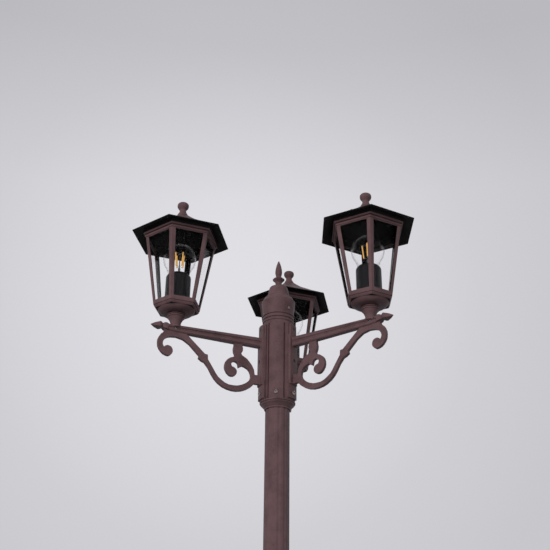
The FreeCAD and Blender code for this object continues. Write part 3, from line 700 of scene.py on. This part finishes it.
class LAMPPOST_OT_screws(bpy.types.Operator):
    """Make the button-head screws of the hub, cap and foot, with their sockets"""
    bl_idname = "lamppost.screws"
    bl_label = "Screws"

    def head(self, scale):
        r = sizes().screw_head / MM * scale
        top, shank, below = 2.4, 2.2, -6.0
        dome = smooth_run([(r, 0.5), (r * 0.9, 1.5), (r * 0.55, 2.3), (r * 0.42, top)], 3)
        head = turned("screw_head", [(0, below), (shank, below), (shank, 0), (r * 0.98, 0), (r, 0.2)] + dome
                      + [(0, top)], 40)
        deselect()
        bpy.ops.mesh.primitive_cylinder_add(vertices=6, radius=r * 0.38 * MM, depth=0.003,
                                            location=(0, 0, top * MM))
        socket = bpy.context.object
        modify(head, "BOOLEAN", operation="DIFFERENCE", object=socket, solver="EXACT")
        discard(socket)
        soften(head, 0)
        return head

    def ring(self, name, head, places, node):
        """Set copies of a screw round the post, each at (azimuth, seat radius, level)."""
        copies = []
        for azimuth, seat, level in places:
            spot = (Matrix.Rotation(math.radians(azimuth), 4, "Z") @ Matrix.Translation((seat * MM, 0, level))
                    @ Matrix.Rotation(math.radians(90), 4, "Y"))
            copies.append(placed(head, name, spot))
        screws = joined(name, *copies)
        settle(screws, ROOT, "steel", "silver_screw", node)

    def execute(self, context):
        head = self.head(0.85)
        column, pad_foot = sizes().column_radius / MM, (sizes().pad_radius + PAD_FOOT) / MM
        hub_level, foot_level, cap_level = LEVEL - 0.105, 0.110, LEVEL + 0.0605
        foot_seat, cap_seat, cap_azimuth = 34.2, 29.8, 316.0
        self.ring("hub_button_screws", head,
                  [(90 + 60 * k, column if k % 2 else pad_foot, hub_level) for k in range(6)], "hub_screws")
        self.ring("foot_button_screws", head,
                  [(90 + 120 * k, foot_seat, foot_level) for k in range(3)], "foot_screws")
        small = self.head(0.5)
        self.ring("cap_button_screw", small, [(cap_azimuth, cap_seat, cap_level)], "cap_screw")
        discard(head, small)
        return {"FINISHED"}


class LAMPPOST_OT_pans(bpy.types.Operator):
    """Make the turned necks and six-sided pans that carry the lanterns"""
    bl_idname = "lamppost.pans"
    bl_label = "Necks and pans"

    def execute(self, context):
        pan = turned("pan", [
            (6, 25.2), (39.0, 25.2), (40.0, 26.0), (41.8, 28.2), (41.8, 28.9), (41.0, 29.2), (41.0, 29.9),
            (41.9, 30.1), (41.9, 30.9), (36.5, 30.9), (34, 28.0), (6, 28.0), (6, 25.2)], 6, SIX)
        soften(pan, 0.0003)
        waist = smooth_run([(9.0, -2.6), (9.3, 0.0), (10.6, 4.0), (12.8, 8.0), (14.6, 11.0)], 4)
        bowl = smooth_run([(18.6, 17.8), (25.0, 19.0), (30.2, 21.8), (33.8, 25.6)], 4)
        neck = turned("neck", [(5.6, -3.0), (8.8, -3.0)] + waist + [
            (15.9, 11.5), (16.5, 12.2), (16.5, 13.2), (15.9, 13.9), (14.0, 14.2), (13.4, 14.6),
            (14.0, 15.0), (15.6, 15.2), (16.0, 15.7), (16.0, 16.3), (15.4, 16.7), (14.2, 16.9),
            (14.2, 17.5), (17.4, 17.6)]
            + bowl + [(33.8, 26.6), (5.6, 26.6), (5.6, -3.0)], 96)
        soften(neck, 0)
        whole = joined("pan_casting", neck, pan)
        # painted shade: the downward faces of the pan's six-sided underside get the near-black coat
        on_lanterns(whole, "pan_casting", ROOT, "coat", "coated_casting", "pan_%d",
                    lambda c, n: n.z < -0.9 and 0.025 < c.z < 0.0255)
        return {"FINISHED"}


class LAMPPOST_OT_cages(bpy.types.Operator):
    """Cut the glazing bars out of a six-sided shell and add its stepped cornice"""
    bl_idname = "lamppost.cages"
    bl_label = "Cages"

    def execute(self, context):
        foot, half_way, top, apex = 30.3, 90.0, 162.0, -212.7     # the bars' slopes meet at the apex
        foot_rail, head_rail, head_spread = 7.5, 1.4, 0.0019
        bars = turned("bars", [(42.8, foot), (66.0, top)], 6, SIX)
        edit(bars, "FACE")
        bpy.ops.mesh.select_all(action="SELECT")
        bpy.ops.mesh.inset(thickness=sizes().bar_face, use_individual=True)
        bpy.ops.mesh.delete(type="FACE")
        finish_edit()
        rails = ((foot + 1, half_way, foot + foot_rail), (half_way, top - 1, top - head_rail))
        for low, high, wanted in rails:
            edit(bars)
            pick(bars, lambda co: low * MM < co.z < high * MM)
            here = next(v.co.z for v in bars.data.vertices if low * MM < v.co.z < high * MM) / MM
            grow = (wanted - apex) / (here - apex)
            bpy.ops.transform.resize(value=(grow, grow, grow), center_override=(0, 0, apex * MM))
            finish_edit()
        for face in range(6):
            middle = math.radians(30 + 60 * face)
            along = Vector((-math.sin(middle), math.cos(middle), 0))
            out = Vector((math.cos(middle), math.sin(middle), 0))
            for side in (-1, 1):
                edit(bars)
                pick(bars, lambda co: co.z > half_way * MM
                     and 0.010 < co.dot(along) * side < co.dot(out) * HALF_FACE - 0.001)
                bpy.ops.transform.translate(value=along * side * -head_spread)
                finish_edit()
        modify(bars, "SOLIDIFY", thickness=sizes().cage_wall, offset=-1.0, use_even_offset=True)
        cornice = turned("cornice", [
            (61.5, top), (67.0, top), (67.6, 162.5), (68.3, 165.0), (67.9, 165.6), (66.2, 165.8),
            (66.2, 166.7), (69.8, 166.9), (70.9, 167.6), (71.6, 169.5), (71.2, 170.2), (61.5, 170.2),
            (61.5, top)], 6, SIX)
        cage = joined("glazing_cage", cornice, bars)
        soften(cage, 0.0002)
        # painted shade: the bars' inner faces and the underside of the foot rail get the near-black coat
        on_lanterns(cage, "glazing_cage", ROOT, "coat", "coated_casting", "cage_%d",
                    lambda c, n: n.x * c.x + n.y * c.y < -0.3 * math.hypot(c.x, c.y)
                    or n.z < -0.9 and c.z < 0.031)
        return {"FINISHED"}


class LAMPPOST_OT_roofs(bpy.types.Operator):
    """Make the six-sided roofs with their ridge knobs, and the turned finials"""
    bl_idname = "lamppost.roofs"
    bl_label = "Roofs"

    def execute(self, context):
        eave, under, seat, curb_top = 92.2, 170.5, 220.4, 180.5
        shell = turned("shell", [
            (0, seat), (11.5, seat), (20.5, 213.0), (33, 203.6), (62, 187.0), (eave, 171.6), (eave, under),
            (89.8, under), (59.4, 184.4), (28.4, 199.4), (8.9, 215.2), (0, 215.2)], 6, SIX)
        curb = turned("curb", [
            (67.6, under), (71.0, under), (71.0, 179.5), (67.6, 181.0), (67.6, under)], 6, SIX)
        roof = joined("roof_shell", curb, shell)
        soften(roof, 0)
        knob = turned("knob", [
            (0, -2), (3.4, -2), (3.4, 0.4), (3.0, 2.2), (3.2, 3.2), (2.6, 4.4), (1.2, 5.0), (0, 5.0)], 32)
        soften(knob, 0)
        hip, knob_place = math.radians(240), (0.032, 0, 0.2015)
        knob.matrix_world = Matrix.Rotation(hip, 4, "Z") @ Matrix.Translation(knob_place)
        apply_all(knob)
        roof = joined("roof_shell", knob, roof)
        for k in LANTERNS:
            spin = Matrix.Rotation(math.radians(-60 if k == 1 else 0), 4, "Z")   # roof 1 sits a sixth on
            copy = placed(roof, "roof_shell_%d" % k, lantern_matrix(k) @ spin)
            settle(copy, "roof_%d" % k, "coat", "coated_casting", "roof_%d" % k)
            # painted shade: the roof's downward faces, and its upright faces below the curb's top (eave lip,
            # curb), get the near-black coat
            paint(copy, "painted_shade_coat",
                  lambda c, n: n.z < -0.2 or c.z < LEVEL + curb_top * MM and abs(n.z) < 0.5)
        discard(roof)
        top = smooth_run([(6.2, 233.8), (7.8, 236.2), (10.0, 239.6), (10.7, 243.0), (9.9, 246.6),
                          (6.6, 249.0), (0.6, 249.6)], 4)
        finial = turned("roof_knob", [
            (0, seat), (10.2, seat), (10.4, 221.2), (10.0, 223.0), (8.8, 225.2), (7.2, 227.8), (6.2, 230.6)]
            + top + [(0, 249.6)], 64)
        soften(finial, 0)
        on_lanterns(finial, "roof_knob", "roof_%d", "coat", "coated_casting", "roof_finial_%d")
        return {"FINISHED"}


class LAMPPOST_OT_lamps(bpy.types.Operator):
    """Make the black lamp holders and the clear globe bulbs with their filament sticks"""
    bl_idname = "lamppost.lamps"
    bl_label = "Lamp holders and bulbs"

    def execute(self, context):
        holder = turned("holder_body", [
            (0, 34.5), (22.0, 34.5), (22.6, 35.2), (22.6, 89.6), (22.2, 91.4), (21.0, 93.6), (19.8, 95.0),
            (19.2, 95.0), (18.6, 94.4), (13.66, 78.5), (13.66, 51.5), (0, 51.5)], 72)
        soften(holder, 0)
        on_lanterns(holder, "holder_body", ROOT, "holder", "holder_black", "lamp_holder_%d")
        thread, thread_start, pitch = [], 59.6, 3.6
        for k in range(5):
            low = thread_start + pitch * k
            thread += [(12.3, low), (12.9, low + 0.8), (13.1, low + 1.8), (12.9, low + 2.8)]
        cap = turned("bulb_screw_cap", [
            (0, 51.8), (4.6, 51.8), (5.0, 52.4), (5.2, 54.0), (12.0, 58.4)] + thread
            + [(12.3, 77.6), (13.1, 78.2), (13.1, 78.8), (0, 78.8)], 64)
        soften(cap, 0)
        on_lanterns(cap, "bulb_screw_cap", "bulb_%d", "bulb_cap", "bulb_cap_metal", "bulb_cap_%d")
        self.globe()
        self.filament()
        return {"FINISHED"}

    def globe(self):
        radius, middle, wall = sizes().bulb_radius / MM, 128.8, 0.0007

        def on_ball(angle):
            return radius * math.cos(math.radians(angle)), middle + radius * math.sin(math.radians(angle))

        neck = smooth_run([(12.9, 78.8), (13.6, 84.0), (16.2, 92.0), (20.6, 101.5), on_ball(-38)], 5)
        ball = [on_ball(angle) for angle in range(-32, 90, 6)]
        glass = turned("globe", neck + ball + [(0, middle + radius)], 72)
        modify(glass, "SOLIDIFY", thickness=wall, offset=-1.0)
        soften(glass, 0)
        on_lanterns(glass, "bulb_globe", "bulb_%d", "globe", "clear_glass", "bulb_glass_%d")

    def filament(self):
        stem = turned("stem", smooth_run([
            (4.6, 79.0), (4.2, 84.0), (2.6, 92.0), (1.9, 104.0), (2.2, 110.0)], 4) + [
            (1.0, 111.6), (0.7, 143.0), (0, 143.4), (0, 79.0), (4.6, 79.0)], 32)
        soften(stem, 0)
        for k in LANTERNS:
            settle(placed(stem, "bulb_stem_%d" % k, lantern_matrix(k)), "bulb_%d" % k, "stem", "clear_glass")
        discard(stem)
        stick = turned("stick", [
            (0, -13.2), (0.7, -13.2), (1.25, -12.6), (1.25, 12.6), (0.7, 13.2), (0, 13.2)], 20)
        soften(stick, 0)
        wire = turned("wire", [(0, -4.8), (0.3, -4.8), (0.3, 4.8), (0, 4.8)], 10)
        soften(wire, 0)
        sticks, wires = [], []
        stick_reach, stick_level, lean = 0.0086, 0.1278, math.radians(5)
        wire_ends = ((0.1146, 0.0037), (0.1409, 0.0048))      # level, and middle's distance from the axis
        for k in range(4):
            spin = Matrix.Rotation(math.radians(90 * k + 20), 4, "Z")
            sticks.append(placed(stick, "stick", spin @ Matrix.Translation((stick_reach, 0, stick_level))
                                 @ Matrix.Rotation(lean, 4, "Y")))
            for level, reach in wire_ends:
                wires.append(placed(wire, "wire", spin @ Matrix.Translation((reach, 0, level))
                                    @ Matrix.Rotation(math.radians(90), 4, "Y")))
        sticks, wires = joined("sticks", *sticks), joined("wires", *wires)
        discard(stick, wire)
        on_lanterns(sticks, "filament_sticks", "bulb_%d", "filament", "filament_yellow",
                    "bulb_filament_%d")
        for k in LANTERNS:
            copy = placed(wires, "filament_wires_%d" % k, lantern_matrix(k))
            settle(copy, "bulb_%d" % k, "steel", "bulb_cap_metal")
        discard(wires)


class LAMPPOST_OT_kept(bpy.types.Operator):
    """Finish the pieces whose plain shape is already right: panes, nipples, brackets, terminals"""
    bl_idname = "lamppost.kept"
    bl_label = "Panes and small fittings"

    def execute(self, context):
        finishes = {"arm_screws": "screw_dark", "terminal_tray": "zinc", "terminal_block": "terminal"}
        for k in LANTERNS:
            finishes.update({"panes_%d" % k: "pane", "neck_nipple_%d" % k: "zinc",
                             "holder_bracket_%d" % k: "zinc"})
        for node, finish in finishes.items():
            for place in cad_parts[node].material_slots:
                place.material = MATERIALS[finish]
        return {"FINISHED"}


class LAMPPOST_OT_stage(bpy.types.Operator):
    """Lay the pale floor and set the background, the lamps and the camera"""
    bl_idname = "lamppost.stage"
    bl_label = "Stage"

    def floor(self):
        deselect()
        bpy.ops.mesh.primitive_circle_add(vertices=96, radius=6.0, fill_type="NGON", location=(0, 0, 0))
        floor = bpy.context.object
        floor.name = "studio_floor"
        material, tree, shader = new_material("studio_floor")
        grain = noise(tree, 3.0, 4.0)
        tone = colours().backdrop
        tint = ramp(tree, grain.outputs["Fac"], [(0.3, [c * 0.97 for c in tone]), (0.7, tone)])
        shown = tree.nodes.new("ShaderNodeMix")
        shown.data_type = "RGBA"
        shown.inputs[6].default_value = (0.05, 0.05, 0.05, 1.0)
        tree.links.new(seen_rays(tree), shown.inputs[0])
        tree.links.new(tint.outputs["Color"], shown.inputs[7])
        tree.links.new(shown.outputs[2], shader.inputs["Base Color"])
        shader.inputs["Roughness"].default_value = 0.8
        floor.data.materials.append(material)

    def world(self):
        """One plain sky that lights the part, and a pale backdrop with a soft glow that the camera sees."""
        world = bpy.data.worlds.new("studio")
        world.use_nodes = True
        bpy.context.scene.world = world
        tree = world.node_tree
        out = tree.nodes["World Output"]
        light = tree.nodes["Background"]
        light.inputs["Strength"].default_value = 0.8
        shown = tree.nodes.new("ShaderNodeBackground")
        place = tree.nodes.new("ShaderNodeTexCoord")
        split = tree.nodes.new("ShaderNodeSeparateXYZ")
        tree.links.new(place.outputs["Generated"], split.inputs["Vector"])
        height = calculate(tree, "MULTIPLY_ADD", split.outputs["Z"], 0.5, 0.5)
        sky = ramp(tree, height, [
            (0.44, (0.03, 0.03, 0.03)), (0.54, (0.80, 0.81, 0.86)), (1.0, (0.60, 0.60, 0.64))])
        tree.links.new(sky.outputs["Color"], light.inputs["Color"])
        middle = tree.nodes.new("ShaderNodeVectorMath")
        middle.operation = "DOT_PRODUCT"
        middle.inputs[1].default_value = self.toward(*GLOW_AT)
        tree.links.new(place.outputs["Generated"], middle.inputs[0])
        glow = ramp(tree, middle.outputs["Value"], [
            (0.80, (0.55, 0.55, 0.575)), (0.927, (0.575, 0.57, 0.60)), (0.966, (0.625, 0.62, 0.655)),
            (0.9903, (0.70, 0.695, 0.735)), (1.0, (0.745, 0.74, 0.78))])
        # painted shade on the backdrop: what the camera sees darkens towards the top
        wall = ramp(tree, split.outputs["Z"], [(0.53, (1, 1, 1)), (0.66, (0.86, 0.86, 0.865))])
        both = tree.nodes.new("ShaderNodeMix")
        both.data_type = "RGBA"
        both.blend_type = "MULTIPLY"
        both.inputs[0].default_value = 1.0
        tree.links.new(glow.outputs["Color"], both.inputs[6])
        tree.links.new(wall.outputs["Color"], both.inputs[7])
        tree.links.new(both.outputs[2], shown.inputs["Color"])
        mix = tree.nodes.new("ShaderNodeMixShader")
        tree.links.new(seen_rays(tree), mix.inputs["Fac"])
        tree.links.new(light.outputs["Background"], mix.inputs[1])
        tree.links.new(shown.outputs["Background"], mix.inputs[2])
        tree.links.new(mix.outputs["Shader"], out.inputs["Surface"])

    def lamp(self, name, place, size, power):
        """A round lamp that shines on the hub and shows in no mirror."""
        data = bpy.data.lights.new(name, "AREA")
        data.shape = "DISK"
        data.size = size
        data.energy = power
        lamp = bpy.data.objects.new(name, data)
        bpy.context.scene.collection.objects.link(lamp)
        lamp.location = place
        lamp.visible_glossy = False
        lamp.rotation_euler = (Vector((0, 0, LEVEL)) - place).to_track_quat("-Z", "Y").to_euler()

    def axes(self):
        """The camera's directions: to its right, upright and ahead."""
        heading, pitch, roll = (math.radians(a) for a in CAMERA_TURNS)
        ahead = Vector((math.cos(heading) * math.cos(pitch), math.sin(heading) * math.cos(pitch),
                        math.sin(pitch)))
        level = Vector((math.sin(heading), -math.cos(heading), 0))
        above = level.cross(ahead)
        right = level * math.cos(roll) + above * math.sin(roll)
        return right, above * math.cos(roll) - level * math.sin(roll), ahead

    def toward(self, x, y):
        """Direction in the studio of a point of the picture."""
        right, upright, ahead = self.axes()
        return (ahead * FOCAL + right * (x - PICTURE / 2) + upright * (PICTURE / 2 - y)).normalized()

    def camera(self):
        right, upright, ahead = self.axes()
        data = bpy.data.cameras.new("view")
        data.sensor_width = SENSOR
        data.lens = round(FOCAL / PICTURE * SENSOR, 2)
        data.clip_start = 0.05
        camera = bpy.data.objects.new("view", data)
        bpy.context.scene.collection.objects.link(camera)
        turn = Matrix((right, upright, -ahead)).transposed().to_4x4()
        camera.matrix_world = Matrix.Translation(Vector(CAMERA_PLACE) + Vector((0, 0, LEVEL))) @ turn
        bpy.context.scene.camera = camera

    def execute(self, context):
        self.floor()
        self.world()
        for name, place, size, power in LAMPS:
            self.lamp(name, Vector(place), size, power)
        self.camera()
        context.scene.view_settings.view_transform = "Standard"
        return {"FINISHED"}


OPERATORS = (
    LAMPPOST_OT_foot, LAMPPOST_OT_post, LAMPPOST_OT_hub, LAMPPOST_OT_arms, LAMPPOST_OT_screws,
    LAMPPOST_OT_pans, LAMPPOST_OT_cages, LAMPPOST_OT_roofs, LAMPPOST_OT_lamps, LAMPPOST_OT_kept,
    LAMPPOST_OT_stage,
)


class LAMPPOST_PT_panel(bpy.types.Panel):
    """Sidebar panel with the sizes, the colours and a button for each group of pieces"""
    bl_idname = "LAMPPOST_PT_panel"
    bl_label = "Lamp post"
    bl_space_type = "VIEW_3D"
    bl_region_type = "UI"
    bl_category = "Lamp Post"

    def draw(self, context):
        layout = self.layout
        for group in (context.scene.lamp_post_sizes, context.scene.lamp_post_colours):
            box = layout.box()
            for name in group.bl_rna.properties.keys():
                if name not in ("name", "rna_type"):
                    box.prop(group, name)
        for operator in OPERATORS:
            layout.operator(operator.bl_idname)


CLASSES = (LampPostSizes, LampPostColours) + OPERATORS + (LAMPPOST_PT_panel,)


def register():
    for cls in CLASSES:
        bpy.utils.register_class(cls)
    bpy.types.Scene.lamp_post_sizes = bpy.props.PointerProperty(type=LampPostSizes)
    bpy.types.Scene.lamp_post_colours = bpy.props.PointerProperty(type=LampPostColours)


def unregister():
    del bpy.types.Scene.lamp_post_sizes
    del bpy.types.Scene.lamp_post_colours
    for cls in reversed(CLASSES):
        bpy.utils.unregister_class(cls)


def main():
    register()
    MATERIALS.update(make_materials())
    for operator in OPERATORS:
        group, name = operator.bl_idname.split(".")
        getattr(getattr(bpy.ops, group), name)()


if __name__ == "__main__":
    main()
